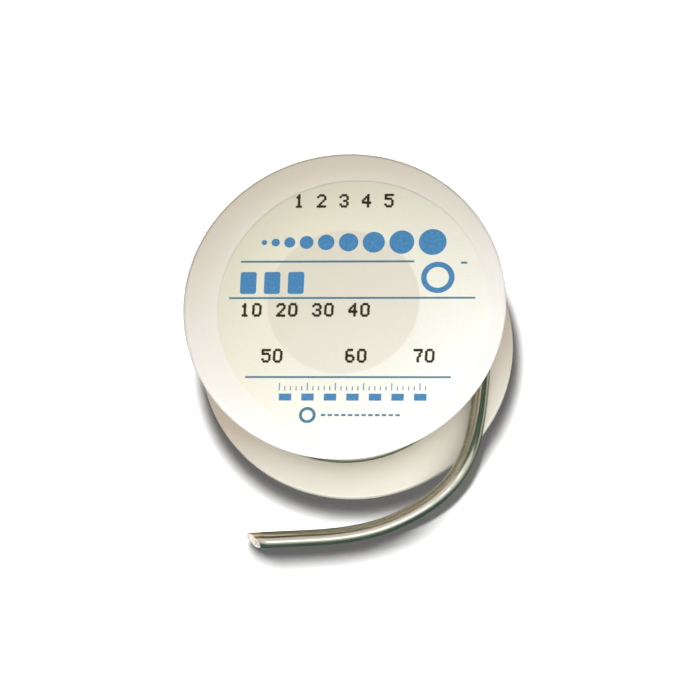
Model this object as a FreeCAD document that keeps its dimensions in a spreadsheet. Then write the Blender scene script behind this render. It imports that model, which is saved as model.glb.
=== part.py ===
import FreeCAD, Part
import math
import os

import Sketcher

# Small spool of thick solder wire, lying on its rear flange.
#
# The spool is two plastic mouldings, each a flange with half of the barrel. The rear moulding ends in a ring
# of snap fingers, the front one in a socket with keys between them. A round paper label covers most of the
# front face and the front end of the bore. The wire is wound in two layers, and its outer end has sprung
# loose: it lies round the winding once more, leaves over the rim of the rear flange and comes down to the
# table.
#
# Frame, in millimetres: the origin is the centre of the rear flange's outer face, on the table. +Z is the
# spool's axis towards the label, +Y is up on the label and +X is right on it.

PARTS_FOLDER = "parts"
SHEET_NAME = "Dims"

# alias, value, what it is
DRIVING_SIZES = [
    ("flange_diameter", 58.0, "outside diameter of both flanges"),
    ("flange_thickness", 2.0, "both flanges"),
    ("outer_rim_bevel", 0.9, "bevel of a rim's outward edge, in two steps that round it"),
    ("inner_rim_bevel", 0.3, "bevel of a rim's inward edge"),
    ("spool_width", 26.0, "from one flange's outer face to the other's"),
    ("bore_diameter", 27.4, "hole for the spindle"),
    ("bore_bevel", 0.4, "bevel at each end of the bore"),
    ("barrel_wall", 2.0, "wall of the barrel"),
    ("shoulder_height", 10.6, "where the rear barrel steps down to its fingers"),
    ("finger_length", 5.2, "reach of the snap fingers past the shoulder"),
    ("finger_count", 6, "snap fingers, and keys between them"),
    ("slot_width", 3.2, "slot between two fingers"),
    ("slot_foot", 0.8, "unslotted ring left above the shoulder"),
    ("bead_height", 0.3, "how far the snap bead stands out"),
    ("bead_length", 1.6, "length of the bead along the barrel"),
    ("bead_setback", 0.7, "plain tip beyond the bead"),
    ("fit_gap", 0.1, "clearance at each face of the snap joint"),
    ("start_hole_diameter", 3.6, "hole for the inner end of the wire"),
    ("start_hole_margin", 0.5, "from the barrel to the start hole"),
    ("label_diameter", 48.6, "round paper label"),
    ("label_thickness", 0.15, "paper and its glue"),
    ("label_right", 1.7, "how far the label was stuck to the right"),
    ("label_low", 1.0, "how far the label was stuck too low"),
    ("wire_diameter", 3.0, "solder wire"),
    ("winding_gap", 0.5, "from a flange to the winding"),
    ("seat_gap", 0.1, "from the barrel to the winding"),
    ("inner_turns", 7, "turns in the layer on the barrel"),
    ("outer_turns", 5, "turns in the layer above it"),
    ("winding_bevel", 0.9, "bevel at the winding's shoulders, where the wire is round"),
]

# The loose outer turn: angle round the axis in degrees, then radius and height of the wire's middle
LOOSE_TURN = [
    (50, 20.5, 5.3),
    (20, 20.6, 5.3),
    (-10, 20.9, 5.3),
    (-40, 21.8, 5.4),
    (-68, 22.6, 5.6),
    (-96, 23.2, 6.0),
    (-124, 23.6, 6.4),
    (-152, 23.9, 6.7),
    (-180, 24.1, 7.0),
    (-208, 24.2, 7.2),
    (-236, 24.3, 7.3),
    (-264, 24.4, 7.4),
    (-292, 24.5, 7.4),
    (-320, 24.4, 7.3),
    (-348, 24.3, 7.2),
]

# The free end: X, Y and Z of the wire's middle, over the rear rim and down to the table
FREE_END = [
    (23.9, -3.0, 7.1),
    (23.7, -9.2, 7.1),
    (23.3, -14.8, 6.9),
    (22.4, -20.6, 6.4),
    (19.9, -25.9, 5.5),
    (15.8, -30.0, 4.3),
    (10.5, -33.1, 2.9),
    (4.6, -35.3, 1.9),
    (-2.4, -36.5, 1.5),
    (-10.4, -37.0, 1.5),
    (-18.3, -37.4, 1.5),
]
ARC_SHARE = 0.45  # share of a run that the arc at its end takes
TUBE_SIDES = 12  # flats round the plain tube that stands for the loose wire
STEP_SHARE = 0.3  # where the two steps of a rim's bevel meet, as a share of the bevel


class Size:
    """A number with the expression that gives it, so a sketch can start right and stay bound to the sheet."""

    def __init__(self, value, text=None):
        self.value = value
        self.text = str(value) if text is None else text

    def combine(self, other, sign, value):
        return Size(value, f"({self.text} {sign} {other.text})")

    def __add__(self, other):
        other = as_size(other)
        return self.combine(other, "+", self.value + other.value)

    def __sub__(self, other):
        other = as_size(other)
        return self.combine(other, "-", self.value - other.value)

    def __mul__(self, other):
        other = as_size(other)
        return self.combine(other, "*", self.value * other.value)

    def __truediv__(self, other):
        other = as_size(other)
        return self.combine(other, "/", self.value / other.value)


def as_size(number):
    return number if isinstance(number, Size) else Size(number)


def make_sheet(doc):
    """The spreadsheet of driving dimensions; returns the same dimensions as Sizes, by alias."""
    sheet = doc.addObject("Spreadsheet::Sheet", SHEET_NAME)
    for row, (alias, value, meaning) in enumerate(DRIVING_SIZES, start=1):
        sheet.set(f"A{row}", meaning)
        sheet.set(f"B{row}", str(value))
        sheet.setAlias(f"B{row}", alias)
    doc.recompute()
    return {alias: Size(float(sheet.get(alias)), f"{SHEET_NAME}.{alias}") for alias, _, _ in DRIVING_SIZES}


def new_body(doc, label):
    body = doc.addObject("PartDesign::Body", label)
    body.Label = label
    return body


def sketch_on(body, name, role, height=None):
    """A sketch on one of the body's own origin planes, lifted along its normal by a Size."""
    plane = next(feature for feature in body.Origin.OriginFeatures if feature.Role == role)
    sketch = body.newObject("Sketcher::SketchObject", name)
    sketch.AttachmentSupport = [(plane, "")]
    sketch.MapMode = "FlatFace"
    if height is not None:
        sketch.setExpression("AttachmentOffset.Base.z", height.text)
    return sketch


def pin_point(sketch, geometry, end, across, up):
    """Holds one point of a sketch at two Sizes from the sketch's origin."""
    for kind, size, axis in (("DistanceX", across, -2), ("DistanceY", up, -1)):
        if size.value == 0:
            sketch.addConstraint(Sketcher.Constraint("PointOnObject", geometry, end, axis))
            continue
        index = sketch.addConstraint(Sketcher.Constraint(kind, -1, 1, geometry, end, size.value))
        sketch.setExpression(f"Constraints[{index}]", size.text)


def draw_outline(sketch, corners):
    """A closed outline of straight edges through corners, each a pair of Sizes."""
    points = [FreeCAD.Vector(across.value, up.value, 0) for across, up in corners]
    count = len(points)
    for i in range(count):
        sketch.addGeometry(Part.LineSegment(points[i], points[(i + 1) % count]), False)
    for i in range(count):
        sketch.addConstraint(Sketcher.Constraint("Coincident", i, 2, (i + 1) % count, 1))
    for i, (across, up) in enumerate(corners):
        pin_point(sketch, i, 1, across, up)


def draw_circle(sketch, across, up, radius):
    centre = FreeCAD.Vector(across.value, up.value, 0)
    index = sketch.addGeometry(Part.Circle(centre, FreeCAD.Vector(0, 0, 1), radius.value), False)
    pin_point(sketch, index, 3, across, up)
    bound = sketch.addConstraint(Sketcher.Constraint("Radius", index, radius.value))
    sketch.setExpression(f"Constraints[{bound}]", radius.text)


def revolve(body, name, corners):
    """A full turn of an outline of (radius, height) corners about the spool's axis."""
    sketch = sketch_on(body, name + "_outline", "XZ_Plane")
    draw_outline(sketch, corners)
    turn = body.newObject("PartDesign::Revolution", name)
    turn.Profile = sketch
    turn.ReferenceAxis = (sketch, ["V_Axis"])
    turn.Angle = 360
    return turn


def repeat_round(body, feature, sketch, name, count):
    """Repeats a feature evenly round the spool's axis."""
    pattern = body.newObject("PartDesign::PolarPattern", name)
    pattern.Originals = [feature]
    pattern.Axis = (sketch, ["N_Axis"])
    pattern.Angle = 360
    pattern.setExpression("Occurrences", count.text)
    body.Tip = pattern
    return pattern


def rim_corners(s, face, inward):
    """A flange's rim, from its outer face to its inner one; inward is the sign of Z towards the winding."""
    rim = s["flange_diameter"] / 2
    bevel = s["outer_rim_bevel"]
    step = bevel * STEP_SHARE
    inner = s["inner_rim_bevel"]
    inner_face = face + s["flange_thickness"] * inward
    return [
        (rim - bevel, face),
        (rim - step, face + step * inward),
        (rim, face + bevel * inward),
        (rim, inner_face - inner * inward),
        (rim - inner, inner_face),
    ]


def joint_sizes(s):
    """Radii and heights that the two mouldings share at their snap joint."""
    bore = s["bore_diameter"] / 2
    lap = bore + s["barrel_wall"] / 2
    tip = s["shoulder_height"] + s["finger_length"]
    bead_top = tip - s["bead_setback"]
    return {
        "bore": bore,
        "barrel": bore + s["barrel_wall"],
        "finger": lap - s["fit_gap"] / 2,
        "socket": lap + s["fit_gap"] / 2,
        "tip": tip,
        "bead_top": bead_top,
        "bead_middle": bead_top - s["bead_length"] / 2,
        "bead_foot": bead_top - s["bead_length"],
        "slot_foot": s["shoulder_height"] + s["slot_foot"],
    }


def make_rear_half(doc, s):
    """Rear flange and its half of the barrel, which ends in snap fingers; the wire's start hole."""
    j = joint_sizes(s)
    zero = Size(0)
    body = new_body(doc, "rear_half")
    revolve(body, "rear_moulding", [
        (j["bore"] + s["bore_bevel"], zero),
        *rim_corners(s, zero, 1),
        (j["barrel"], s["flange_thickness"]),
        (j["barrel"], s["shoulder_height"]),
        (j["finger"], s["shoulder_height"]),
        (j["finger"], j["bead_foot"]),
        (j["finger"] + s["bead_height"], j["bead_middle"]),
        (j["finger"], j["bead_top"]),
        (j["finger"], j["tip"]),
        (j["bore"], j["tip"]),
        (j["bore"], s["bore_bevel"]),
    ])

    hole_sketch = sketch_on(body, "start_hole_circle", "XY_Plane")
    hole_radius = s["start_hole_diameter"] / 2
    draw_circle(hole_sketch, zero, j["barrel"] + s["start_hole_margin"] + hole_radius, hole_radius)
    hole = body.newObject("PartDesign::Pocket", "start_hole")
    hole.Profile = hole_sketch
    hole.Reversed = True
    hole.setExpression("Length", (s["flange_thickness"] * 2).text)

    slot_sketch = sketch_on(body, "slot_outline", "XY_Plane", j["slot_foot"])
    inside = j["bore"] - s["bead_height"]
    outside = j["finger"] + s["bead_height"] * 2
    half_slot = s["slot_width"] / 2
    draw_outline(slot_sketch, [
        (inside, zero - half_slot),
        (outside, zero - half_slot),
        (outside, half_slot),
        (inside, half_slot),
    ])
    slot = body.newObject("PartDesign::Pocket", "finger_slot")
    slot.Profile = slot_sketch
    slot.Reversed = True
    slot.setExpression("Length", s["finger_length"].text)
    repeat_round(body, slot, slot_sketch, "finger_slots", s["finger_count"])
    return body


def make_front_half(doc, s):
    """Front flange and its half of the barrel, with the socket, snap groove and keys for the fingers."""
    j = joint_sizes(s)
    zero = Size(0)
    face = s["spool_width"]
    foot = s["shoulder_height"] + s["fit_gap"]
    seat = j["tip"] + s["fit_gap"]
    body = new_body(doc, "front_half")
    revolve(body, "front_moulding", [
        (j["barrel"], foot),
        (j["barrel"], face - s["flange_thickness"]),
        *reversed(rim_corners(s, face, -1)),
        (j["bore"] + s["bore_bevel"], face),
        (j["bore"], face - s["bore_bevel"]),
        (j["bore"], seat),
        (j["socket"], seat),
        (j["socket"], j["bead_top"] + s["fit_gap"]),
        (j["socket"] + s["bead_height"], j["bead_middle"]),
        (j["socket"], j["bead_foot"] - s["fit_gap"]),
        (j["socket"], foot),
    ])

    key_foot = j["slot_foot"] + s["fit_gap"]
    key_sketch = sketch_on(body, "key_outline", "XY_Plane", key_foot)
    half_key = s["slot_width"] / 2 - s["fit_gap"]
    outside = j["socket"] + s["bead_height"]
    draw_outline(key_sketch, [
        (j["bore"], zero - half_key),
        (outside, zero - half_key),
        (outside, half_key),
        (j["bore"], half_key),
    ])
    key = body.newObject("PartDesign::Pad", "finger_key")
    key.Profile = key_sketch
    key.setExpression("Length", (seat - key_foot).text)
    repeat_round(body, key, key_sketch, "finger_keys", s["finger_count"])
    return body


def make_label(doc, s):
    """Round paper label, stuck on a little to the right and too low."""
    body = new_body(doc, "front_label")
    sketch = sketch_on(body, "label_circle", "XY_Plane", s["spool_width"])
    draw_circle(sketch, s["label_right"], Size(0) - s["label_low"], s["label_diameter"] / 2)
    pad = body.newObject("PartDesign::Pad", "label_disc")
    pad.Profile = sketch
    pad.setExpression("Length", s["label_thickness"].text)
    return body


def make_winding(doc, s):
    """The two wound layers as one ring; the outer turns nest between the inner ones."""
    wire = s["wire_diameter"]
    barrel = joint_sizes(s)["barrel"]
    bevel = s["winding_bevel"]
    rear = s["flange_thickness"] + s["winding_gap"]
    front = rear + wire * s["inner_turns"]
    outer_front = front - wire / 2
    outer_rear = outer_front - wire * s["outer_turns"]
    low = barrel + wire
    high = low + wire * (math.sqrt(3) / 2)
    body = new_body(doc, "solder_winding")
    revolve(body, "wound_layers", [
        (barrel + s["seat_gap"], rear),
        (low - bevel, rear),
        (low, rear + bevel),
        (low, outer_rear),
        (high - bevel, outer_rear),
        (high, outer_rear + bevel),
        (high, outer_front - bevel),
        (high - bevel, outer_front),
        (low, outer_front),
        (low, front - bevel),
        (low - bevel, front),
        (barrel + s["seat_gap"], front),
    ])
    return body


def on_circle(angle, radius, height):
    """A point from its angle round the axis in degrees, radius and height."""
    turn = math.radians(angle)
    return FreeCAD.Vector(radius * math.cos(turn), radius * math.sin(turn), height)


def tangent_arc_path(points):
    """Straight runs through the points, joined by tangent arcs; the wire, its length and the arcs' radii."""
    edges = []
    radii = []
    start = points[0]
    for before, corner, after in zip(points, points[1:], points[2:]):
        back = before - corner
        ahead = after - corner
        cut = ARC_SHARE * min(back.Length, ahead.Length)
        turn = math.pi - back.getAngle(ahead)
        radius = cut / math.tan(turn / 2)
        back.normalize()
        ahead.normalize()
        middle = back + ahead
        middle.normalize()
        enter = corner + back * cut
        leave = corner + ahead * cut
        crown = corner + middle * (radius / math.cos(turn / 2) - radius)
        edges.append(Part.LineSegment(start, enter).toShape())
        edges.append(Part.Arc(enter, crown, leave).toShape())
        radii.append(radius)
        start = leave
    edges.append(Part.LineSegment(start, points[-1]).toShape())
    return Part.Wire(edges), radii


def many_sided(centre, direction, radius, sides):
    """A closed wire of equal straight sides round centre, square to direction."""
    outline = Part.makePolygon([on_circle(360 / sides * i, radius, 0) for i in range(sides + 1)])
    turn = FreeCAD.Rotation(FreeCAD.Vector(0, 0, 1), direction)
    return outline.transformed(FreeCAD.Placement(centre, turn).toMatrix())


def make_loose_end(doc, s):
    """The wire's loose outer turn and free end, as one plain tube."""
    wire_radius = s["wire_diameter"].value / 2
    points = [on_circle(*place) for place in LOOSE_TURN]
    points += [FreeCAD.Vector(*place) for place in FREE_END]
    path, radii = tangent_arc_path(points)
    section = many_sided(points[0], points[1] - points[0], wire_radius, TUBE_SIDES)
    tube = path.makePipeShell([section], True, False)
    expected = Part.Face(section).Area * path.Length
    print("loose end: length", round(path.Length, 1), "mm, arc radii", [round(r, 1) for r in radii])
    print("loose end: volume", round(tube.Volume, 1), "mm3, section times length", round(expected, 1))
    feature = doc.addObject("Part::Feature", "solder_loose_end")
    feature.Label = "solder_loose_end"
    feature.Shape = tube
    feature.Placement = FreeCAD.Placement()
    return feature


def check(doc, pieces):
    """Stops on any failed object and on any piece that isn't one valid solid."""
    for item in doc.Objects:
        if {"Invalid", "Error"} & set(item.State):
            raise RuntimeError(f"{item.Name} failed: {item.State}")
    for piece in pieces:
        shape = piece.Shape
        if shape.isNull() or not shape.isValid() or len(shape.Solids) != 1:
            raise RuntimeError(f"{piece.Label} isn't one valid solid")
        print(piece.Label, "volume", round(shape.Volume, 1), "mm3")


def main():
    doc = FreeCAD.newDocument("SolderSpool")
    sizes = make_sheet(doc)
    pieces = [
        make_rear_half(doc, sizes),
        make_front_half(doc, sizes),
        make_label(doc, sizes),
        make_winding(doc, sizes),
        make_loose_end(doc, sizes),
    ]
    doc.recompute()
    check(doc, pieces)
    os.makedirs(PARTS_FOLDER, exist_ok=True)
    for piece in pieces:
        piece.Shape.exportStep(f"{PARTS_FOLDER}/{piece.Label}.step")


main()
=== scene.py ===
"""Small spool of thick solder wire: the finished look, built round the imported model.

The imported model's frame is used throughout: metres, the origin under the spool's axis on the table,
+Z along the axis towards the label, +Y up on the label and +X right on it. Sizes of the object are
given in millimetres and turned into metres by MM; lamps and tent are given in metres.
"""

import math
import random

import bmesh
import bpy
from mathutils import Matrix, Vector


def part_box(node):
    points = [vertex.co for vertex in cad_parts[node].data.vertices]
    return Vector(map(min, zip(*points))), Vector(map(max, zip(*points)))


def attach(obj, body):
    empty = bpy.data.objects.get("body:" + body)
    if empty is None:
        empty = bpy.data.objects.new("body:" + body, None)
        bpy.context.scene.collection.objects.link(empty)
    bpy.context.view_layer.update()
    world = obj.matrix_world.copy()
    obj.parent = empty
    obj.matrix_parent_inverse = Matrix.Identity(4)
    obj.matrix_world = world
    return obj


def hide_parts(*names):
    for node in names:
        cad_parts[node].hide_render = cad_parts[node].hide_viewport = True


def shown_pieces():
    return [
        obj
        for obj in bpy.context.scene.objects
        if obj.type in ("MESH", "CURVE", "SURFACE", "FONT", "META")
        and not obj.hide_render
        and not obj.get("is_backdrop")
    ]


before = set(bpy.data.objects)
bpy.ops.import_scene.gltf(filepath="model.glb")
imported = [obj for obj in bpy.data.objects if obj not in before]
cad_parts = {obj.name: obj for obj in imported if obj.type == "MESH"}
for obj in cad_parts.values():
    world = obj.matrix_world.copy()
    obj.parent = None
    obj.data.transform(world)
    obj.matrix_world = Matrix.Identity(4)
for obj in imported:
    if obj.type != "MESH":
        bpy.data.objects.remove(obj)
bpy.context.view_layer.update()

MM = 0.001

# Mouldings
BORE = 13.7  # radius of the spindle hole
BORE_BEVEL = 0.4
BARREL = 15.7  # radius of the barrel
FLANGE = 2.0  # thickness of a flange
RIM_ROUND = 0.85  # rounding of a rim's outward edge
RIM_EASE = 0.28  # rounding of a rim's inward edge
FOOT_EASE = 0.5  # rounding where barrel and flange meet
BARREL_EASE = 0.08  # rounding of a barrel's end
TIP_EASE = 0.15  # rounding of the finger tips
SHOULDER = 10.6  # height of the rear barrel's shoulder
FINGER = 14.65  # outer radius of the snap fingers
SOCKET = 14.75  # inner radius of the front socket
TIP = 15.8  # height of the finger tips
FIT_GAP = 0.1  # clearance at each face of the snap joint
BEAD = 0.3  # height of the snap bead
BEAD_FOOT, BEAD_MIDDLE, BEAD_TOP = 13.5, 14.3, 15.1
SLOT_FOOT = 11.4
SLOT_WIDTH = 3.2
FINGERS = 6
START_HOLE = 1.8  # radius
START_HOLE_OUT = 18.0  # from the axis
TURN_STEPS = 144

# Wire
WIRE = 3.0
PITCH = WIRE
INNER_TURNS, OUTER_TURNS = 7, 5
INNER_LAYER, OUTER_LAYER = 17.2, 19.8  # radii of the wire's middle
CLIMB = 0.42  # how far an outer turn rises where it crosses the inner ones
FIRST_HEIGHT, LAST_HEIGHT = 4.0, 20.5
POINTS_A_TURN = 16
CROSSING_POINTS = 3  # points of a turn in which it steps to the next one
TURN_START = 50  # degrees
WIRE_SIDES = 18
PINCH_LENGTH = 4.5  # the stretch at the free end that the cutters drew out of shape

# The loose outer turn: angle round the axis in degrees, then radius and height of the wire's middle
LOOSE_TURN = [
    (50, 20.5, 5.3),
    (20, 20.6, 5.3),
    (-10, 20.9, 5.3),
    (-40, 21.8, 5.4),
    (-68, 22.6, 5.6),
    (-96, 23.2, 6.0),
    (-124, 23.6, 6.4),
    (-152, 23.9, 6.7),
    (-180, 24.1, 7.0),
    (-208, 24.2, 7.2),
    (-236, 24.3, 7.3),
    (-264, 24.4, 7.4),
    (-292, 24.5, 7.4),
    (-320, 24.4, 7.3),
    (-348, 24.3, 7.2),
]

# The free end: X, Y and Z of the wire's middle, over the rear rim and down to the table
FREE_END = [
    (23.9, -3.0, 7.1),
    (23.7, -9.2, 7.1),
    (23.2, -14.8, 6.9),
    (22.2, -20.6, 6.4),
    (19.8, -25.9, 5.5),
    (15.8, -29.9, 4.3),
    (10.5, -32.9, 2.9),
    (4.6, -35.1, 1.9),
    (-2.4, -36.3, 1.5),
    (-10.4, -36.8, 1.5),
    (-18.3, -37.2, 1.5),
]

# Camera: where it looks, how far off it is, and how it is turned
LOOK_AT = (0.07, -4.41, 13.0)
CAMERA_DISTANCE = 595.6
CAMERA_ELEVATION = 69.18
CAMERA_AZIMUTH = 17.11
CAMERA_ROLL = -16.05
CAMERA_LENS = 168.5  # on a 36 mm sensor


# ---------------------------------------------------------------- shader maths


class Value:
    """A number or link in a material that takes part in ordinary arithmetic."""

    def __init__(self, finish, socket):
        self.finish = finish
        self.socket = socket

    def work(self, operation, *others):
        """The result of one operation on this value and the others, as a new value."""
        inputs = dict(enumerate((self, *others)))
        return self.finish.node("ShaderNodeMath", {"operation": operation}, inputs)

    def __add__(self, other):
        return self.work("ADD", other)

    __radd__ = __add__

    def __sub__(self, other):
        return self.work("SUBTRACT", other)

    def __rsub__(self, other):
        return self.finish.node("ShaderNodeMath", {"operation": "SUBTRACT"}, {0: other, 1: self})

    def __mul__(self, other):
        return self.work("MULTIPLY", other)

    def __pow__(self, other):
        return self.work("POWER", other)

    def above(self, limit):
        return self.work("GREATER_THAN", limit)

    def ease(self, low, high, start=0.0, end=1.0):
        """A smooth step from start to end as the value goes from low to high."""
        inputs = {"Value": self, "From Min": low, "From Max": high, "To Min": start, "To Max": end}
        return self.finish.node("ShaderNodeMapRange", {"interpolation_type": "SMOOTHSTEP"}, inputs)


class Finish:
    """A material under construction: one Principled shader and the nodes that feed it."""

    def __init__(self, name, **constants):
        self.material = bpy.data.materials.new(name)
        self.material.use_nodes = True
        self.tree = self.material.node_tree
        self.tree.nodes.clear()
        self.shader = self.tree.nodes.new("ShaderNodeBsdfPrincipled")
        output = self.tree.nodes.new("ShaderNodeOutputMaterial")
        self.tree.links.new(self.shader.outputs[0], output.inputs[0])
        self.feed(self.shader, constants)

    def feed(self, node, inputs):
        """Gives a node's sockets their values or links; an underscore in a name means a space."""
        for key, value in inputs.items():
            key = key.replace("_", " ") if isinstance(key, str) else key
            if isinstance(value, Value):
                self.tree.links.new(value.socket, node.inputs[key])
            else:
                node.inputs[key].default_value = value

    def node(self, kind, settings=None, inputs=None, output=0):
        """Adds a node: its settings are set first, then its sockets get their values or links."""
        made = self.tree.nodes.new(kind)
        for key, value in (settings or {}).items():
            if key == "stops":
                self.set_stops(made.color_ramp, value)
            else:
                setattr(made, key, value)
        self.feed(made, inputs or {})
        return Value(self, made.outputs[output])

    @staticmethod
    def set_stops(ramp, stops):
        """Places first and colours after, because the ramp sorts its stops by place."""
        while len(ramp.elements) < len(stops):
            ramp.elements.new(1.0)
        for element, (place, _) in zip(ramp.elements, stops):
            element.position = place
        for element, (_, colour) in zip(ramp.elements, stops):
            element.color = (*colour, 1.0)

    def place(self):
        """Object coordinates."""
        return self.node("ShaderNodeTexCoord", output="Object")

    def axes(self, vector):
        """A vector's three parts."""
        made = self.node("ShaderNodeSeparateXYZ", inputs={0: vector}).socket.node
        return [Value(self, made.outputs[i]) for i in range(3)]

    def vector(self, x=0.0, y=0.0, z=0.0):
        return self.node("ShaderNodeCombineXYZ", inputs={0: x, 1: y, 2: z})

    def noise(self, vector, scale, detail=2.0, roughness=0.5):
        inputs = {"Vector": vector, "Scale": scale, "Detail": detail, "Roughness": roughness}
        return self.node("ShaderNodeTexNoise", inputs=inputs)

    def mix(self, share, first, second, blend="MIX"):
        """Two colours mixed; a colour is a link or three numbers."""
        first, second = ((*c, 1.0) if isinstance(c, tuple) else c for c in (first, second))
        settings = {"data_type": "RGBA", "blend_type": blend}
        return self.node("ShaderNodeMix", settings, {0: share, 6: first, 7: second}, output=2)

    def ramp(self, value, stops):
        return self.node("ShaderNodeValToRGB", {"stops": stops}, {0: value})

    def bump(self, height, strength, distance):
        inputs = {"Height": height, "Strength": strength, "Distance": distance}
        return self.node("ShaderNodeBump", inputs=inputs)

    def set(self, **inputs):
        """Feeds the Principled shader and returns the material."""
        self.feed(self.shader, inputs)
        return self.material


def screen_colour(red, green, blue):
    """A colour given as it looks on a screen, 0 to 255, in the renderer's own numbers."""
    shares = [c / 255 for c in (red, green, blue)]
    return tuple(c / 12.92 if c <= 0.04045 else ((c + 0.055) / 1.055) ** 2.4 for c in shares)


# ---------------------------------------------------------------- modelling helpers


def deselect():
    """Leaves edit mode and selects nothing."""
    if bpy.context.mode != "OBJECT":
        bpy.ops.object.mode_set(mode="OBJECT")
    bpy.ops.object.select_all(action="DESELECT")


def hold(piece):
    """Makes a piece the only selected one."""
    deselect()
    piece.select_set(True)
    bpy.context.view_layer.objects.active = piece


def settle(piece):
    """Moves an object's place, turn and scale into its mesh."""
    hold(piece)
    bpy.ops.object.transform_apply(location=True, rotation=True, scale=True)


def added(name):
    """The object that the last operator made, with its name set."""
    piece = bpy.context.object
    piece.name = name
    piece.data.name = name
    return piece


def turned(name, outline):
    """A closed outline of (radius, height) pairs in millimetres, turned round the spool's axis."""
    deselect()
    radius, height = outline[0]
    bpy.ops.mesh.primitive_circle_add(vertices=TURN_STEPS, radius=radius * MM, location=(0, 0, 0))
    piece = added(name)
    bpy.ops.object.mode_set(mode="EDIT")
    bpy.ops.mesh.select_all(action="SELECT")
    bpy.ops.transform.translate(value=(0, 0, height * MM))
    for (r0, z0), (r1, z1) in zip(outline, outline[1:] + outline[:1]):
        rise = {"value": (0, 0, (z1 - z0) * MM)}
        bpy.ops.mesh.extrude_edges_move(TRANSFORM_OT_translate=rise)
        bpy.ops.transform.resize(value=(r1 / r0, r1 / r0, 1), center_override=(0, 0, 0))
    bpy.ops.mesh.select_all(action="SELECT")
    bpy.ops.mesh.remove_doubles(threshold=0.002 * MM)
    bpy.ops.mesh.normals_make_consistent(inside=False)
    bpy.ops.object.mode_set(mode="OBJECT")
    return piece


def round_rings(piece, rings, width, steps):
    """Rounds the edge rings of a turned piece that lie at the given (radius, height) pairs."""
    hold(piece)
    bpy.ops.object.mode_set(mode="EDIT")
    bpy.ops.mesh.select_mode(type="EDGE")
    bpy.ops.mesh.select_all(action="DESELECT")
    mesh = bmesh.from_edit_mesh(piece.data)
    near = 0.01 * MM
    for edge in mesh.edges:
        for radius, height in rings:
            if all(
                abs(math.hypot(v.co.x, v.co.y) - radius * MM) < near
                and abs(v.co.z - height * MM) < near
                for v in edge.verts
            ):
                edge.select_set(True)
    bmesh.update_edit_mesh(piece.data)
    bpy.ops.mesh.bevel(offset=width * MM, segments=steps, affect="EDGES")
    bpy.ops.object.mode_set(mode="OBJECT")


def combine(piece, tool, operation):
    """Cuts or joins a piece with a tool, which is used up."""
    hold(piece)
    change = piece.modifiers.new("change", "BOOLEAN")
    change.operation = operation
    change.solver = "EXACT"
    change.object = tool
    bpy.ops.object.modifier_apply(modifier=change.name)
    bpy.data.objects.remove(tool)


def cross_bars(name, width, low, high, reach):
    """Bars across the axis, one for each pair of opposite fingers, from low to high."""
    bars = []
    for i in range(FINGERS // 2):
        deselect()
        bpy.ops.mesh.primitive_cube_add(size=1, location=(0, 0, (low + high) / 2 * MM))
        bar = added(name)
        bar.scale = (2 * reach * MM, width * MM, (high - low) * MM)
        bar.rotation_euler.z = 2 * math.pi / FINGERS * i
        settle(bar)
        bars.append(bar)
    for other in bars[1:]:
        combine(bars[0], other, "UNION")
    return bars[0]


def smooth(piece, angle=32):
    """Smooth shading across edges flatter than an angle in degrees."""
    hold(piece)
    bpy.ops.object.shade_smooth_by_angle(angle=math.radians(angle))


def tidy_mesh(piece):
    """Merges doubled vertices and turns all the faces outwards."""
    hold(piece)
    bpy.ops.object.mode_set(mode="EDIT")
    bpy.ops.mesh.select_all(action="SELECT")
    bpy.ops.mesh.remove_doubles(threshold=0.001 * MM)
    bpy.ops.mesh.normals_make_consistent(inside=False)
    bpy.ops.object.mode_set(mode="OBJECT")


def joined(name, pieces):
    """All the pieces as one object."""
    hold(pieces[0])
    for piece in pieces:
        piece.select_set(True)
    bpy.ops.object.join()
    return added(name)


def put(piece, material):
    """Makes a material the piece's only one."""
    piece.data.materials.clear()
    piece.data.materials.append(material)


# ---------------------------------------------------------------- finishes


def moulded_plastic(name, clean, pure, painted_side_shade, inner, lean):
    """White moulded plastic with painted shade on one side and by the barrel, faint flow rings and a
    few dark specks.

    clean and pure are the two tones of its clouds; the third tone is painted shade, darker and
    yellower, on the side away from the lamps, and inner is the painted shade by the barrel. lean says
    where that
    side shade is less: a share per metre of X, a share per metre of Y, and a start.
    """
    f = Finish(name, Specular_IOR_Level=0.4, Coat_Roughness=0.2)
    where = f.place()
    x, y, z = f.axes(where)
    radius = (x * x + y * y) ** 0.5
    cloud = f.noise(where, 55, 3, 0.6)
    grain = f.noise(where, 2600, 3, 0.6)
    flow = f.noise(f.vector(radius, z * 0.5, cloud * 0.004), 900, 2, 0.5)
    fresh = f.mix(cloud.ease(0.3, 0.7), clean, pure)
    # Painted shade: the tone turns darker and yellower towards +Y and -X, away from the lamps.
    with_side_shade = f.mix((x * lean[0] + y * lean[1] + lean[2]).ease(0.0, 1.0), painted_side_shade, fresh)
    # Painted shade: darker near the barrel, between the flanges.
    with_barrel_shade = f.mix(radius.ease(0.017, 0.028, 1.0, 0.0), with_side_shade, inner)
    spots = f.node("ShaderNodeTexVoronoi", {"feature": "F1"}, {"Vector": where, "Scale": 260.0})
    chosen = f.noise(where, 330, 1).above(0.63)
    specks = spots.ease(0.04, 0.08, 1.0, 0.0) * chosen
    colour = f.mix(specks * 0.6, with_barrel_shade, screen_colour(120, 100, 78))
    height = flow * 0.5 + grain * 0.25
    return f.set(
        Base_Color=colour,
        Roughness=0.32 + flow * 0.1 + grain * 0.06,
        Coat_Weight=0.12 + cloud * 0.1,
        Normal=f.bump(height, 0.12, 0.03 * MM),
    )


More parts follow.
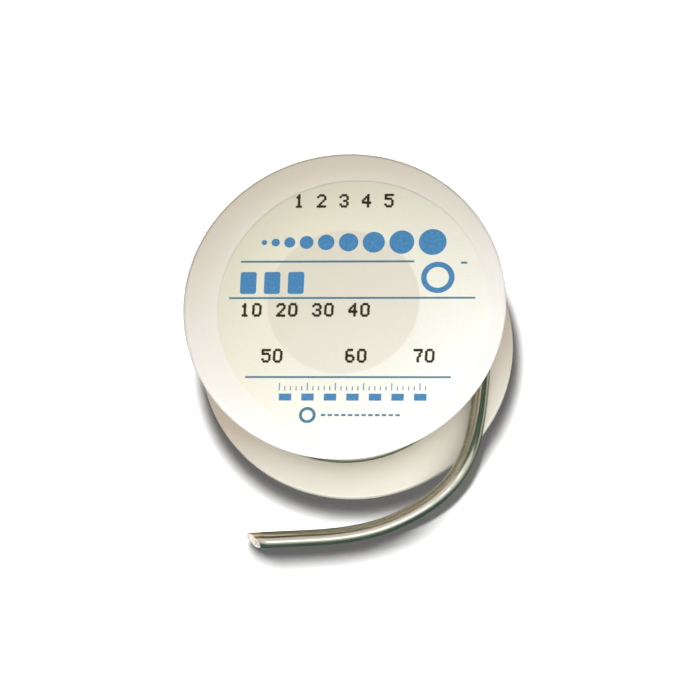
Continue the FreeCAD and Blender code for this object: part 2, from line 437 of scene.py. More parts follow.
def label_paper():
    """Cream paper with fibres, with painted shade: creamier towards the upper left, and a little
    darker where no plastic backs it, over the bore, most towards the top.
    """
    f = Finish("label_paper", Specular_IOR_Level=0.3)
    where = f.place()
    x, y, z = f.axes(where)
    radius = (x * x + y * y) ** 0.5
    cloud = f.noise(where, 90, 4, 0.6)
    fibre = f.noise(f.vector(x, y * 3.0, z), 1500, 4, 0.7)
    fine = f.noise(where, 5200, 2, 0.6)
    cream, white = screen_colour(234, 231, 210), screen_colour(251, 254, 250)
    # Painted shade: creamier towards +Y and -X, whiter towards the lower right.
    painted_side_shade = f.mix((x * 12 - y * 14 + 0.36).ease(0.0, 1.0), cream, white)
    mottled = f.mix(fibre.ease(0.35, 0.75) * 0.2, painted_side_shade, screen_colour(226, 218, 196))
    clouded = f.mix(cloud.ease(0.45, 0.8) * 0.2, mottled, screen_colour(240, 233, 216))
    # Painted shade of the hollow bore behind the paper, stronger towards +Y.
    over_bore = (radius * (1 / MM) - BORE).ease(-0.35, 0.25, 1.0, 0.0)
    bore_shade = over_bore * (y * 14 + 0.5).ease(0.3, 0.6, 0.35, 0.55)
    colour = f.mix(bore_shade, clouded, screen_colour(217, 210, 196))
    return f.set(
        Base_Color=colour,
        Roughness=0.62 + fibre * 0.15,
        Normal=f.bump(fibre * 0.6 + fine * 0.4, 0.2, 0.02 * MM),
    )


def print_ink(name, colour, worn):
    """Printing ink that lets a little of the paper through."""
    f = Finish(name, Specular_IOR_Level=0.35)
    where = f.place()
    thin = f.noise(where, 2400, 3, 0.7)
    return f.set(
        Base_Color=f.mix(thin.ease(0.42, 0.72) * 0.2, colour, worn),
        Roughness=0.5 + thin * 0.15,
    )


def solder():
    """Drawn solder wire: lines along it, dull patches, and long bands of painted reflection round it.
    """
    f = Finish("drawn_solder", Specular_IOR_Level=0.5)
    round_, along, _ = f.axes(f.node("ShaderNodeUVMap", {"uv_map": "wire"}))
    turn = round_ * (2 * math.pi)
    side = turn.work("SINE")
    top = turn.work("COSINE")
    lines = f.noise(f.vector(side * 8.0, top * 8.0, along * 14), 1.6, 5, 0.65)
    patch = f.noise(f.vector(side * 1.4, top * 1.4, along * 60), 1.2, 3, 0.6)
    scratch = f.noise(f.vector(side * 30.0, top * 30.0, along * 70), 1.0, 2, 0.6)
    wander = (patch - 0.5) * 0.06 + (lines - 0.5) * 0.04
    across = (round_ + 0.5).work("FRACT") + wander
    # Painted reflection: lighter and darker bands round the wire, counted from its up side.
    reflection_bands = f.ramp(
        across,
        [
            (0.1, screen_colour(212, 208, 196)),
            (0.3, screen_colour(208, 208, 195)),
            (0.38, screen_colour(212, 213, 204)),
            (0.418, screen_colour(226, 225, 214)),
            (0.436, screen_colour(212, 213, 200)),
            (0.454, screen_colour(190, 190, 177)),
            (0.472, screen_colour(220, 207, 195)),
            (0.492, screen_colour(182, 168, 150)),
            (0.52, screen_colour(166, 164, 144)),
            (0.55, screen_colour(240, 231, 210)),
            (0.575, screen_colour(228, 219, 198)),
            (0.605, screen_colour(182, 180, 162)),
            (0.66, screen_colour(196, 191, 172)),
            (0.9, screen_colour(204, 200, 188)),
        ],
    )
    streaked_reflection_bands = f.mix(lines.ease(0.3, 0.7) * 0.5, reflection_bands, screen_colour(214, 210, 204), "MULTIPLY")
    by_end = along.ease(1.588, 1.603)  # metres along the wire: only the last stretch gets the painted dark band
    # Painted reflection: a dark band along the top of the last stretch of the free end.
    dark_reflection_band = across.ease(0.488, 0.506) * across.ease(0.526, 0.546, 1.0, 0.0) * by_end
    with_dark_reflection = f.mix(dark_reflection_band * 0.85, streaked_reflection_bands, screen_colour(84, 92, 76))
    dulled_with_reflections = f.mix(patch.ease(0.55, 0.8) * 0.25, with_dark_reflection, screen_colour(168, 162, 150))
    return f.set(
        Base_Color=dulled_with_reflections,
        Metallic=0.985 - patch * 0.05,
        Roughness=0.09 + lines * 0.12 + scratch * 0.06,
        Normal=f.bump(lines * 0.7 + scratch * 0.3, 0.2, 0.05 * MM),
    )


def cut_solder():
    """The rough bright face of the pinched-off end."""
    f = Finish("cut_solder", Metallic=0.1)
    where = f.place()
    torn = f.noise(where, 1900, 4, 0.7)
    pits = f.noise(where, 900, 2, 0.5)
    colour = f.ramp(
        torn * 0.6 + pits * 0.4,
        [
            (0.3, screen_colour(70, 62, 48)),
            (0.4, screen_colour(206, 198, 182)),
            (0.52, screen_colour(254, 250, 241)),
        ],
    )
    return f.set(
        Base_Color=colour,
        Roughness=0.42 + torn * 0.2,
        Normal=f.bump(torn + pits, 0.7, 0.15 * MM),
    )


# ---------------------------------------------------------------- mouldings


def rear_moulding(plastic):
    """Rear flange and its half of the barrel, with the snap fingers and the wire's start hole."""
    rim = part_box("rear_half")[1][0] / MM
    piece = turned(
        "rear_flange_and_fingers",
        [
            (BORE, TIP),
            (FINGER, TIP),
            (FINGER, BEAD_TOP),
            (FINGER + BEAD, BEAD_MIDDLE),
            (FINGER, BEAD_FOOT),
            (FINGER, SHOULDER),
            (BARREL, SHOULDER),
            (BARREL, FLANGE),
            (rim, FLANGE),
            (rim, 0.0),
            (BORE, 0.0),
        ],
    )
    round_rings(piece, [(rim, 0.0)], RIM_ROUND, 6)
    round_rings(piece, [(rim, FLANGE)], RIM_EASE, 3)
    round_rings(piece, [(BORE, 0.0)], BORE_BEVEL, 4)
    round_rings(piece, [(BARREL, FLANGE)], FOOT_EASE, 4)
    round_rings(piece, [(BARREL, SHOULDER)], BARREL_EASE, 2)
    round_rings(piece, [(FINGER, TIP), (BORE, TIP)], TIP_EASE, 2)
    slots = cross_bars("slot_tool", SLOT_WIDTH, SLOT_FOOT, TIP + 1, BARREL)
    combine(piece, slots, "DIFFERENCE")
    deselect()
    bpy.ops.mesh.primitive_cylinder_add(
        vertices=40,
        radius=START_HOLE * MM,
        depth=3 * FLANGE * MM,
        location=(0, START_HOLE_OUT * MM, 0),
    )
    drill = added("drill")
    settle(drill)
    combine(piece, drill, "DIFFERENCE")
    tidy_mesh(piece)
    smooth(piece)
    put(piece, plastic)
    return piece


def front_moulding(plastic):
    """Front flange and its half of the barrel, with the socket and the keys between the fingers."""
    low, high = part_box("front_half")
    rim, face = high[0] / MM, high[2] / MM
    foot = low[2] / MM
    seat = TIP + FIT_GAP
    piece = turned(
        "front_flange_and_socket",
        [
            (BORE, face),
            (rim, face),
            (rim, face - FLANGE),
            (BARREL, face - FLANGE),
            (BARREL, foot),
            (SOCKET, foot),
            (SOCKET, BEAD_FOOT - FIT_GAP),
            (SOCKET + BEAD, BEAD_MIDDLE),
            (SOCKET, BEAD_TOP + FIT_GAP),
            (SOCKET, seat),
            (BORE, seat),
        ],
    )
    round_rings(piece, [(rim, face)], RIM_ROUND, 6)
    round_rings(piece, [(rim, face - FLANGE)], RIM_EASE, 3)
    round_rings(piece, [(BORE, face)], BORE_BEVEL, 4)
    round_rings(piece, [(BARREL, face - FLANGE)], FOOT_EASE, 4)
    round_rings(piece, [(BARREL, foot)], BARREL_EASE, 2)
    key_foot = SLOT_FOOT + FIT_GAP
    ring = turned(
        "finger_keys",
        [
            (BORE, key_foot),
            (BORE, seat + 0.05),
            (SOCKET + BEAD, seat + 0.05),
            (SOCKET + BEAD, key_foot),
        ],
    )
    bars = cross_bars("key_tool", SLOT_WIDTH - 2 * FIT_GAP, key_foot - 1, seat + 1, BARREL + 1)
    combine(ring, bars, "INTERSECT")
    combine(piece, ring, "UNION")
    tidy_mesh(piece)
    smooth(piece)
    put(piece, plastic)
    return piece


# ---------------------------------------------------------------- label

INK_TOP, INK_FOOT = 0.014, -0.045  # the ink's faces, from the paper's face
PAPER_EASE = 0.02  # how far the paper's edge lies under its face
PAPER_EDGE = 0.05  # width of that edge
SAG = 0.03  # how deep the paper is drawn in over the bore
RULER_LEFT = -10.8  # X at which the ruler and the bars under it start
TICK = 0.18  # width of a ruler tick
DOT = 0.27  # radius of a dot of the numerals
SHAKE = 0.03  # how far a dot strays


def paper_disc(paper):
    """The round label, drawn in a hair where it spans the bore."""
    low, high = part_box("front_label")
    middle = [(a + b) / 2 for a, b in zip(low, high)]
    radius = (high[0] - low[0]) / 2
    deselect()
    depth = high[2] - low[2] - PAPER_EASE * MM
    bpy.ops.mesh.primitive_cylinder_add(
        vertices=TURN_STEPS, radius=radius, depth=depth, location=middle
    )
    piece = added("round_paper_label")
    settle(piece)
    bpy.ops.object.mode_set(mode="EDIT")
    bpy.ops.mesh.select_mode(type="FACE")
    for sign in (1, -1):
        bpy.ops.mesh.select_all(action="DESELECT")
        mesh = bmesh.from_edit_mesh(piece.data)
        mesh.faces.ensure_lookup_table()
        for face in mesh.faces:
            if face.normal.z * sign > 0.9:
                face.select_set(True)
        bmesh.update_edit_mesh(piece.data)
        bpy.ops.mesh.inset(thickness=PAPER_EDGE * MM)
        bpy.ops.transform.translate(value=(0, 0, PAPER_EASE * MM * sign))
        bpy.ops.mesh.inset(thickness=radius - PAPER_EDGE * MM - (BORE + 0.7) * MM)
        bpy.ops.transform.translate(value=(-middle[0], -middle[1], 0))
        bpy.ops.mesh.inset(thickness=0.9 * MM)
        bpy.ops.transform.translate(value=(0, 0, -SAG * MM))
        bpy.ops.mesh.inset(thickness=6 * MM)
    bpy.ops.object.mode_set(mode="OBJECT")
    smooth(piece, 50)
    put(piece, paper)
    return piece


def ink_bar(x0, x1, y0, y1, face, corner=0.0):
    """A printed bar between two X and two Y, in millimetres; corner rounds its corners."""
    deselect()
    bpy.ops.mesh.primitive_cube_add(size=1)
    bar = added("ink")
    bar.scale = ((x1 - x0) * MM, (y1 - y0) * MM, (INK_TOP - INK_FOOT) * MM)
    bar.location = ((x0 + x1) / 2 * MM, (y0 + y1) / 2 * MM, face + (INK_TOP + INK_FOOT) / 2 * MM)
    settle(bar)
    if corner:
        bpy.ops.object.mode_set(mode="EDIT")
        bpy.ops.mesh.select_mode(type="EDGE")
        bpy.ops.mesh.select_all(action="DESELECT")
        mesh = bmesh.from_edit_mesh(bar.data)
        for edge in mesh.edges:
            if abs(edge.verts[0].co.z - edge.verts[1].co.z) > 0.01 * MM:
                edge.select_set(True)
        bmesh.update_edit_mesh(bar.data)
        bpy.ops.mesh.bevel(offset=corner * MM, segments=4, affect="EDGES")
        bpy.ops.object.mode_set(mode="OBJECT")
    return bar


def ink_disc(x, y, radius, face, sides):
    """A printed disc round X and Y, in millimetres."""
    deselect()
    bpy.ops.mesh.primitive_cylinder_add(
        vertices=sides,
        radius=radius * MM,
        depth=(INK_TOP - INK_FOOT) * MM,
        location=(x * MM, y * MM, face + (INK_TOP + INK_FOOT) / 2 * MM),
    )
    disc = added("ink")
    settle(disc)
    return disc


def ink_ring(x, y, radius, width, face):
    """A printed ring: a disc cut by a smaller one that is made taller to pass through it."""
    ring = ink_disc(x, y, radius, face, 48)
    hole = ink_disc(x, y, radius - width, face, 48)
    hole.data.transform(Matrix.Translation((0, 0, -face)))
    hole.data.transform(Matrix.Scale(3, 4, (0, 0, 1)))
    hole.data.transform(Matrix.Translation((0, 0, face)))
    combine(ring, hole, "DIFFERENCE")
    return ring


DIGITS = {  # plain numerals, five dots wide and seven high
    "0": (" ### ", "#   #", "#   #", "#   #", "#   #", "#   #", " ### "),
    "1": ("  #  ", " ##  ", "  #  ", "  #  ", "  #  ", "  #  ", " ### "),
    "2": (" ### ", "#   #", "    #", "   # ", "  #  ", " #   ", "#####"),
    "3": (" ### ", "#   #", "    #", "  ## ", "    #", "#   #", " ### "),
    "4": ("   # ", "  ## ", " # # ", "#  # ", "#####", "   # ", "   # "),
    "5": ("#####", "#    ", "#### ", "    #", "    #", "#   #", " ### "),
    "6": (" ### ", "#    ", "#    ", "#### ", "#   #", "#   #", " ### "),
    "7": ("#####", "    #", "   # ", "   # ", "  #  ", "  #  ", "  #  "),
    " ": (),
}


def dotted_row(text, x, y, pitch, height, face, chance):
    """A row of dotted numerals whose lower left corner is at X and Y; chance shakes each dot."""
    dot = ink_disc(0, 0, DOT, face, 8)
    inset = 0.25  # from the corner to the middle of the first dot
    step_up = (height - 2 * inset) / 6
    step_on = step_up * 0.86
    pieces = []
    for i, sign in enumerate(text):
        for down, line in enumerate(DIGITS[sign]):
            for across, mark in enumerate(line):
                if mark == " ":
                    continue
                copy = dot.copy()
                copy.data = dot.data.copy()
                dot_x = x + inset + i * pitch + across * step_on
                dot_y = y + inset + (6 - down) * step_up
                shake_x, shake_y = chance.uniform(-SHAKE, SHAKE), chance.uniform(-SHAKE, SHAKE)
                place = Vector((dot_x, dot_y, 0)) * MM + Vector((shake_x, shake_y, 0)) * MM
                copy.data.transform(Matrix.Translation(place))
                bpy.context.scene.collection.objects.link(copy)
                pieces.append(copy)
    bpy.data.objects.remove(dot)
    return pieces


def rule_print(teal):
    """The long rules, the ruler, and the small ring with its dashes."""
    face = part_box("front_label")[1][2]
    ink = [
        ink_bar(-18.8, 12.5, 7.5, 7.87, face),
        ink_bar(20.9, 22.0, 7.2, 7.6, face),
        ink_bar(-20.6, 23.6, 0.52, 0.88, face),
        ink_bar(-17.0, 19.6, -14.48, -14.12, face),
    ]
    for i in range(27):
        rise = 1.4 if i % 5 == 0 else 0.8
        middle = RULER_LEFT + i
        ink.append(ink_bar(middle - TICK / 2, middle + TICK / 2, -16.8, -16.8 + rise, face))
    ink.append(ink_ring(-5.6, -21.4, 1.5, 0.55, face))
    for i in range(12):
        ink.append(ink_bar(-3.2 + 1.2 * i, -2.4 + 1.2 * i, -21.6, -21.2, face))
    piece = joined("label_print_rules", ink)
    put(piece, teal)
    return piece


def blue_print(blue):
    """A row of growing discs, plain blocks, a ring and a row of bars."""
    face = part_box("front_label")[1][2]
    ink = []
    x = -15.2
    for i in range(9):
        radius = 0.5 + 0.25 * i
        x += radius
        ink.append(ink_disc(x, 11.4, radius, face, 40))
        x += radius + 0.8
    for i in range(3):
        ink.append(ink_bar(-18.7 + 4.3 * i, -15.8 + 4.3 * i, 1.5, 5.7, face, 0.4))
    ink.append(ink_ring(16.8, 4.6, 3.0, 1.0, face))
    for i in range(7):
        left = RULER_LEFT + 4.0 * i
        ink.append(ink_bar(left, left + 2.2, -18.7, -17.4, face))
    piece = joined("label_print_blue", ink)
    put(piece, blue)
    return piece


def dark_print(dark):
    """Three rows of plain numerals."""
    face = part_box("front_label")[1][2]
    chance = random.Random(7)
    ink = dotted_row("1 2 3 4 5", -9.6, 18.1, 2.04, 2.7, face, chance)
    ink += dotted_row("10 20 30 40", -18.5, -2.9, 2.16, 2.65, face, chance)
    for text, x in (("50", -14.3), ("60", 0.7), ("70", 12.8)):
        ink += dotted_row(text, x, -11.6, 2.1, 2.65, face, chance)
    piece = joined("label_print_dark", ink)
    put(piece, dark)
    return piece


# ---------------------------------------------------------------- wire


def on_circle(angle, radius, height):
    """A point at an angle in degrees round the axis; radius and height in millimetres."""
    turn = math.radians(angle)
    return Vector((radius * math.cos(turn), radius * math.sin(turn), height)) * MM


def wound_turns():
    """Points of the two wound layers: each turn lies flat and steps to the next one at its end."""
    bulge = 1 / math.cos(math.pi / POINTS_A_TURN)
    step = 360 / POINTS_A_TURN
    flat = POINTS_A_TURN - CROSSING_POINTS
    points = []
    angle = TURN_START
    for turn in range(INNER_TURNS):
        height = FIRST_HEIGHT + PITCH * turn
        last = turn == INNER_TURNS - 1
        for i in range(POINTS_A_TURN):
            share = (i - flat + 1) / (CROSSING_POINTS + 1) if i >= flat else 0.0
            radius, rise = INNER_LAYER, PITCH * share
            if last:
                lift = min(1.0, max(0, i - flat + 3) / 3)
                radius += (OUTER_LAYER + CLIMB / 2 - INNER_LAYER) * lift
                rise = -PITCH / 2 * share
            points.append(on_circle(angle, radius * bulge, height + rise))
            angle -= step
    for turn in range(OUTER_TURNS):
        height = LAST_HEIGHT - PITCH * turn
        for i in range(POINTS_A_TURN):
            share = (i - flat + 1) / (CROSSING_POINTS + 1) if i >= flat else 0.0
            climb = CLIMB if i >= flat else 0.0
            points.append(on_circle(angle, (OUTER_LAYER + climb) * bulge, height - PITCH * share))
            angle -= step
    return points


def wire_line():
    """Points along the whole wire, read from one smooth line through the turns and the free end."""
    points = wound_turns()
    points += [on_circle(*place) for place in LOOSE_TURN]
    points += [Vector(place) * MM for place in FREE_END]
    line = bpy.data.curves.new("wire_line", "CURVE")
    line.dimensions = "3D"
    line.resolution_u = 6
    spline = line.splines.new("NURBS")
    spline.points.add(len(points) - 1)
    for point, place in zip(spline.points, points):
        point.co = (*place, 1.0)
    spline.order_u = 3
    spline.use_endpoint_u = True
    holder = bpy.data.objects.new("wire_line", line)
    bpy.context.scene.collection.objects.link(holder)
    read = bpy.data.meshes.new_from_object(holder)
    places = [v.co.copy() for v in read.vertices]
    bpy.data.objects.remove(holder)
    bpy.data.meshes.remove(read)
    return places


def solder_wire(drawn, cut):
    """The wire as one tube along its line, cut square inside and pinched off at its free end."""
    line = wire_line()
    radius = WIRE / 2 * MM
    mesh = bmesh.new()
    layer = mesh.loops.layers.uv.new("wire")
    rings = []
    lengths = [0.0]
    for a, b in zip(line, line[1:]):
        lengths.append(lengths[-1] + (b - a).length)
    chance = random.Random(3)
    for i, middle in enumerate(line):
        ahead = (line[min(i + 1, len(line) - 1)] - line[max(i - 1, 0)]).normalized()
        up = (Vector((0, 0, 1)) - ahead * ahead.z).normalized()
        aside = ahead.cross(up)
        from_end = lengths[-1] - lengths[i]
        ring = []
        for k in range(WIRE_SIDES):
            turn = 2 * math.pi * k / WIRE_SIDES
            out = up * math.cos(turn) + aside * math.sin(turn)
            place = middle + out * radius
            if from_end < PINCH_LENGTH * MM:
                share = 1 - from_end / (PINCH_LENGTH * MM)
                slant = (0.6 * math.cos(turn) - 1.25 * math.sin(turn) + 0.68) * MM
                ragged = chance.uniform(-0.07, 0.07) * MM if i == len(line) - 1 else 0.0
                pinch = 0.1 * share * share * abs(math.sin(turn)) * MM
                place += -ahead * (slant * share + ragged) - out * pinch
            ring.append(mesh.verts.new(place))
        rings.append(ring)
    for i, (ring, following) in enumerate(zip(rings, rings[1:])):
        for k in range(WIRE_SIDES):
            after = (k + 1) % WIRE_SIDES
            face = mesh.faces.new((ring[k], ring[after], following[after], following[k]))
            face.smooth = True
            corners = ((k, i), (k + 1, i), (k + 1, i + 1), (k, i + 1))
            for loop, (around, on) in zip(face.loops, corners):
                loop[layer].uv = (around / WIRE_SIDES, lengths[on])
    ends = ((rings[0], line[1] - line[0], False), (rings[-1], line[-2] - line[-1], True))
    for ring, inward, torn in ends:
        inward = inward.normalized()
        middle = sum((v.co for v in ring), Vector()) / WIRE_SIDES
        outer = ring
        for share, dent in ((0.8, 0.02), (0.45, 0.12)):
            inner = []
            for v in ring:
                place = middle + (v.co - middle) * share
                rough = chance.uniform(-0.09, 0.09) if torn else 0.0
                inner.append(mesh.verts.new(place + inward * (dent + rough) * MM))
            for k in range(WIRE_SIDES):
                after = (k + 1) % WIRE_SIDES
                face = mesh.faces.new((outer[k], inner[k], inner[after], outer[after]))
                face.material_index = 1
            outer = inner
        face = mesh.faces.new(outer)
        face.material_index = 1
    bmesh.ops.recalc_face_normals(mesh, faces=mesh.faces)
    data = bpy.data.meshes.new("solder_wire")
    mesh.to_mesh(data)
    mesh.free()
    piece = bpy.data.objects.new("solder_wire", data)
    bpy.context.scene.collection.objects.link(piece)
    data.materials.append(drawn)
    data.materials.append(cut)
    print("wire length", round(lengths[-1], 4), "m, points", len(line), "faces", len(data.polygons))
    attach(piece, "root")
    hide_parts("solder_winding", "solder_loose_end")
    return piece


# ---------------------------------------------------------------- studio


GLINTS = [  # small lamps that only reflections show, one after another along the free end
    (-0.04, -0.354, 0.273),
    (0.02, -0.385, 0.27),
    (0.08, -0.392, 0.262),
    (0.18, -0.33, 0.293),
    (0.266, -0.242, 0.312),
]
GLINT_SIZE, GLINT_POWER = 0.06, 0.035
WARM = (1.0, 0.99, 0.972)
LAMP_AIM = (0, 0, 0.01)

TENT = 0.7  # radius and height of the tent that reflections show
OPENING_LIP = 0.19  # height of the wall in the tent's opening, in front
OPENING_DROP = 0.27  # how much lower that lip lies towards the right
LEAST_LIP = 0.002  # the lowest that it gets

FLOOR_DROP = 0.02  # millimetres that the floor lies under the spool, so that their faces don't meet
CONTACT_REACH = 5.7  # millimetres within which the floor darkens by the object
CONTACT_LEAN = (-0.25, 0.81, 0.53)  # the way the contact shade looks for the object
# colour of the painted contact shadow
CONTACT_DARK = (0.135, 0.133, 0.128, 1)


def camera():
    """The one camera, turned to its azimuth, elevation and roll about the point it looks at."""
    elevation, azimuth, roll = (
        math.radians(a) for a in (CAMERA_ELEVATION, CAMERA_AZIMUTH, CAMERA_ROLL)
    )
    back = Vector(
        (
            math.sin(azimuth) * math.cos(elevation),
            -math.cos(azimuth) * math.cos(elevation),
            math.sin(elevation),
        )
    )
    level = Vector((math.cos(azimuth), math.sin(azimuth), 0))
    rise = back.cross(level)
    right = level * math.cos(roll) + rise * math.sin(roll)
    up = rise * math.cos(roll) - level * math.sin(roll)
    data = bpy.data.cameras.new("camera")
    data.lens = CAMERA_LENS
    data.sensor_width = 36
    data.clip_start = 0.01
    data.clip_end = 20
    eye = bpy.data.objects.new("camera", data)
    bpy.context.scene.collection.objects.link(eye)
    place = (Vector(LOOK_AT) + back * CAMERA_DISTANCE) * MM
    turn = Matrix((right, up, back)).transposed().to_4x4()
    eye.matrix_world = Matrix.Translation(place) @ turn
    bpy.context.scene.camera = eye


def lamp(name, place, size, energy, colour=(1, 1, 1), mirrored=True):
    """A round lamp; mirrored says whether glossy surfaces show it."""
    data = bpy.data.lights.new(name, "AREA")
    data.shape = "DISK"
    data.size = size
    data.energy = energy
    data.color = colour
    piece = bpy.data.objects.new(name, data)
    bpy.context.scene.collection.objects.link(piece)
    away = Vector(place) - Vector(LAMP_AIM)
    turn = away.to_track_quat("Z", "Y")
    piece.matrix_world = Matrix.Translation(Vector(place)) @ turn.to_matrix().to_4x4()
    piece.visible_glossy = mirrored
    return piece


def reflected_room():
    """A round tent open in front, which only reflections show: a wall, a roof and a mat."""
    deselect()
    bpy.ops.mesh.primitive_cylinder_add(
        vertices=64, radius=TENT, depth=TENT, end_fill_type="NOTHING", location=(0, 0, TENT / 2)
    )
    wall = added("tent_wall")
    settle(wall)
    for vertex in wall.data.vertices:
        turn = math.atan2(vertex.co.y, vertex.co.x)
        if vertex.co.z > TENT / 2 and math.sin(turn) < -0.2:
            lip = OPENING_LIP - OPENING_DROP * max(0.0, math.cos(turn))
            vertex.co.z = max(LEAST_LIP, lip)
    for name, height in (("tent_roof", TENT), ("tent_mat", -0.01 * MM)):
        deselect()
        bpy.ops.mesh.primitive_circle_add(
            vertices=64, radius=TENT, fill_type="NGON", location=(0, 0, height)
        )
        settle(added(name))
    roof, mat = bpy.data.objects["tent_roof"], bpy.data.objects["tent_mat"]

    cloth, x, _ = tent_cloth("wall_cloth")
    left = cloth.mix(x.ease(-0.6, -0.15), (0.86, 0.61, 0.35), (0.47, 0.4, 0.3))
    dress(wall, cloth, cloth.mix(x.ease(0.0, 0.5), left, (0.018, 0.07, 0.037)))

    cloth, x, y = tent_cloth("roof_cloth")
    notch = x.ease(-0.2, -0.14) * x.ease(-0.075, -0.045, 1.0, 0.0)
    covered = (y - notch * 0.24 + x.ease(0.0, 0.08) * 0.05).ease(-0.23, -0.14)
    dull = cloth.mix(x.ease(-0.35, 0.3), (0.46, 0.36, 0.21), (0.03, 0.075, 0.045))
    dress(roof, cloth, cloth.mix(covered, (1, 1, 1), dull))

    cloth, x, y = tent_cloth("mat_cloth")
    pale_side = x.ease(0.024, 0.045) * y.ease(-0.08, -0.05)
    dress(mat, cloth, cloth.mix(pale_side, (0.013, 0.07, 0.05), (0.56, 0.47, 0.37)))


def tent_cloth(name):
    """A glowing cloth under construction, with its X and Y."""
    cloth = Finish(name, Roughness=1.0, Emission_Strength=1.0)
    x, y, _ = cloth.axes(cloth.place())
    return cloth, x, y


def dress(prop, cloth, glow):
    """Gives a part of the tent its glow, and shows it to reflections only."""
    prop.data.materials.append(cloth.set(Base_Color=(0.02, 0.045, 0.035, 1), Emission_Color=glow))
    prop.visible_camera = False
    prop.visible_diffuse = False
    prop.visible_shadow = False
    prop.visible_transmission = False
    prop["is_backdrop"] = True


def white_surroundings():
    """A world that is white to the camera and to reflections, and a weak fill light to the rest."""
    world = bpy.data.worlds.new("studio")
    bpy.context.scene.world = world
    world.use_nodes = True
    nodes, links = world.node_tree.nodes, world.node_tree.links
    nodes.clear()
    rays = nodes.new("ShaderNodeLightPath")
    seen = nodes.new("ShaderNodeMath")
    seen.operation = "MAXIMUM"
    links.new(rays.outputs["Is Camera Ray"], seen.inputs[0])
    links.new(rays.outputs["Is Glossy Ray"], seen.inputs[1])
    seen_too = nodes.new("ShaderNodeMath")
    seen_too.operation = "MAXIMUM"
    links.new(seen.outputs[0], seen_too.inputs[0])
    links.new(rays.outputs["Is Transmission Ray"], seen_too.inputs[1])
    fill = nodes.new("ShaderNodeBackground")
    fill.inputs["Color"].default_value = (1.0, 0.99, 0.97, 1.0)
    fill.inputs["Strength"].default_value = 0.25
    white = nodes.new("ShaderNodeBackground")
    white.inputs["Color"].default_value = (1, 1, 1, 1)
    white.inputs["Strength"].default_value = 1.0
    blend = nodes.new("ShaderNodeMixShader")
    links.new(seen_too.outputs[0], blend.inputs[0])
    links.new(fill.outputs[0], blend.inputs[1])
    links.new(white.outputs[0], blend.inputs[2])
    output = nodes.new("ShaderNodeOutputWorld")
    links.new(blend.outputs[0], output.inputs[0])


def light_only(name, lights, pieces):
    """Lets lamps light the given objects and nothing else."""
    lit = bpy.data.collections.new(name)
    for piece in pieces:
        lit.objects.link(piece)
    for light in lights:
        light.light_linking.receiver_collection = lit


def object_lamps():
    """The lamps that light the object: two soft ones, and the small ones its wire mirrors."""
    lamps = [
        lamp("key", (0.07, -0.14, 0.67), 0.26, 1.45, WARM, False),
        lamp("near_fill", (0.07, -0.25, 0.22), 0.22, 0.88, WARM, False),
    ]
    for i, place in enumerate(GLINTS):
        glint = lamp(f"glint_{i + 1}", place, GLINT_SIZE, GLINT_POWER, WARM)
        glint.visible_diffuse = False
        lamps.append(glint)
    light_only("lit_by_key", lamps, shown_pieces())


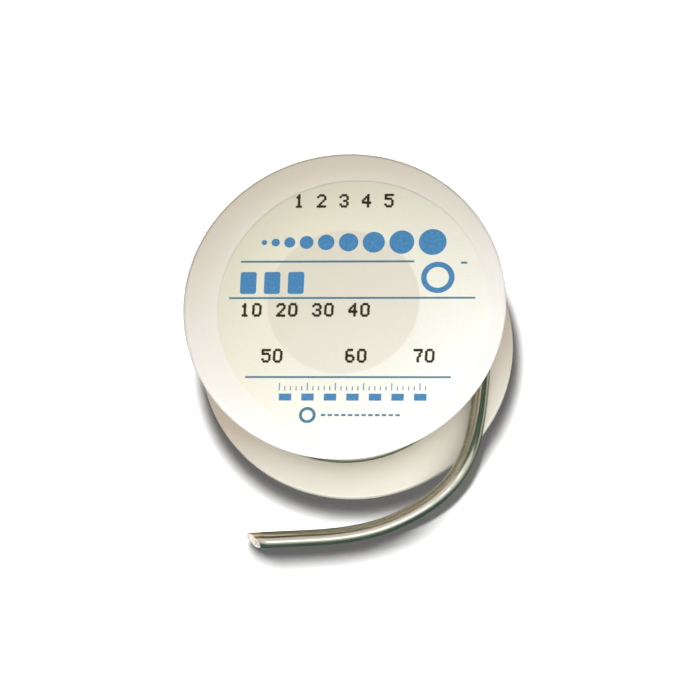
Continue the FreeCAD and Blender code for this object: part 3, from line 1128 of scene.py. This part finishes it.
def floor_finish():
    """Pale matt floor with a painted contact shadow: where the camera sees it, it darkens close to
    the object.
    """
    material = bpy.data.materials.new("pale_floor")
    material.use_nodes = True
    nodes, links = material.node_tree.nodes, material.node_tree.links
    nodes.clear()
    rays = nodes.new("ShaderNodeLightPath")
    tone = nodes.new("ShaderNodeMix")
    tone.data_type = "RGBA"
    links.new(rays.outputs["Is Camera Ray"], tone.inputs[0])
    tone.inputs[6].default_value = (0.7, 0.7, 0.7, 1)
    tone.inputs[7].default_value = (0.8, 0.8, 0.8, 1)
    dull = nodes.new("ShaderNodeBsdfDiffuse")
    links.new(tone.outputs[2], dull.inputs["Color"])
    lean = nodes.new("ShaderNodeCombineXYZ")
    for i, part in enumerate(CONTACT_LEAN):
        lean.inputs[i].default_value = part
    closeness = nodes.new("ShaderNodeAmbientOcclusion")
    closeness.samples = 16
    closeness.inputs["Distance"].default_value = CONTACT_REACH * MM
    links.new(lean.outputs[0], closeness.inputs["Normal"])
    shade = nodes.new("ShaderNodeMapRange")
    shade.interpolation_type = "SMOOTHSTEP"
    links.new(closeness.outputs["AO"], shade.inputs["Value"])
    for key, value in (("From Min", 0.55), ("From Max", 0.97), ("To Min", 1.0), ("To Max", 0.0)):
        shade.inputs[key].default_value = value
    seen_shade = nodes.new("ShaderNodeMath")
    seen_shade.operation = "MULTIPLY"
    links.new(shade.outputs[0], seen_shade.inputs[0])
    links.new(rays.outputs["Is Camera Ray"], seen_shade.inputs[1])
    dark = nodes.new("ShaderNodeEmission")
    dark.inputs["Color"].default_value = CONTACT_DARK
    shaded = nodes.new("ShaderNodeMixShader")
    links.new(seen_shade.outputs[0], shaded.inputs[0])
    links.new(dull.outputs[0], shaded.inputs[1])
    links.new(dark.outputs[0], shaded.inputs[2])
    output = nodes.new("ShaderNodeOutputMaterial")
    links.new(shaded.outputs[0], output.inputs[0])
    return material


def lit_floor():
    """The floor, with a lamp of its own that lights nothing else."""
    deselect()
    bpy.ops.mesh.primitive_plane_add(size=6, location=(0, 0, -FLOOR_DROP * MM))
    floor = added("floor")
    floor.data.materials.append(floor_finish())
    overhead = lamp("floor_lamp", (0.0, 0.072, 0.75), 0.12, 9.0)
    light_only("lit_by_floor_lamp", [overhead], [floor])
    floor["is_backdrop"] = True


def studio():
    """World, lamps, floor and tent."""
    white_surroundings()
    object_lamps()
    lit_floor()
    reflected_room()
    bpy.context.scene.view_settings.view_transform = "Standard"


def main():
    """Builds the pieces, hides the imported parts that they take the place of, and sets up studio and
    camera.
    """
    # Flange tones: two cloud tones, painted shade of the side away from the lamps, painted shade by
    # the barrel.
    front_tones, rear_tones = (
        [screen_colour(*tone) for tone in tones]
        for tones in (
            [(249, 248, 243), (253, 253, 250), (219, 210, 194), (242, 238, 229)],
            [(224, 221, 208), (228, 225, 213), (203, 190, 175), (204, 193, 178)],
        )
    )
    rear_finish = moulded_plastic("rear_plastic", *rear_tones, (18, -50, -0.16))
    front_finish = moulded_plastic("front_plastic", *front_tones, (7, -19, 0.6))
    rear = rear_moulding(rear_finish)
    front = front_moulding(front_finish)
    label = paper_disc(label_paper())
    blue_ink = print_ink("blue_ink", screen_colour(66, 132, 184), screen_colour(150, 188, 208))
    blue = blue_print(blue_ink)
    teal_ink = print_ink("teal_ink", screen_colour(70, 125, 150), screen_colour(150, 186, 196))
    rules = rule_print(teal_ink)
    dark_ink = print_ink("dark_ink", screen_colour(52, 50, 28), screen_colour(120, 116, 92))
    dark = dark_print(dark_ink)
    for piece, node, slot in (
        (rear, "rear_half", "white_plastic"),
        (front, "front_half", "white_plastic"),
        (label, "front_label", "label_paper"),
    ):
        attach(piece, "root")
        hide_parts(node)
    for piece in (rules, blue, dark):
        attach(piece, "root")
    solder_wire(solder(), cut_solder())
    studio()
    camera()
    deselect()


main()
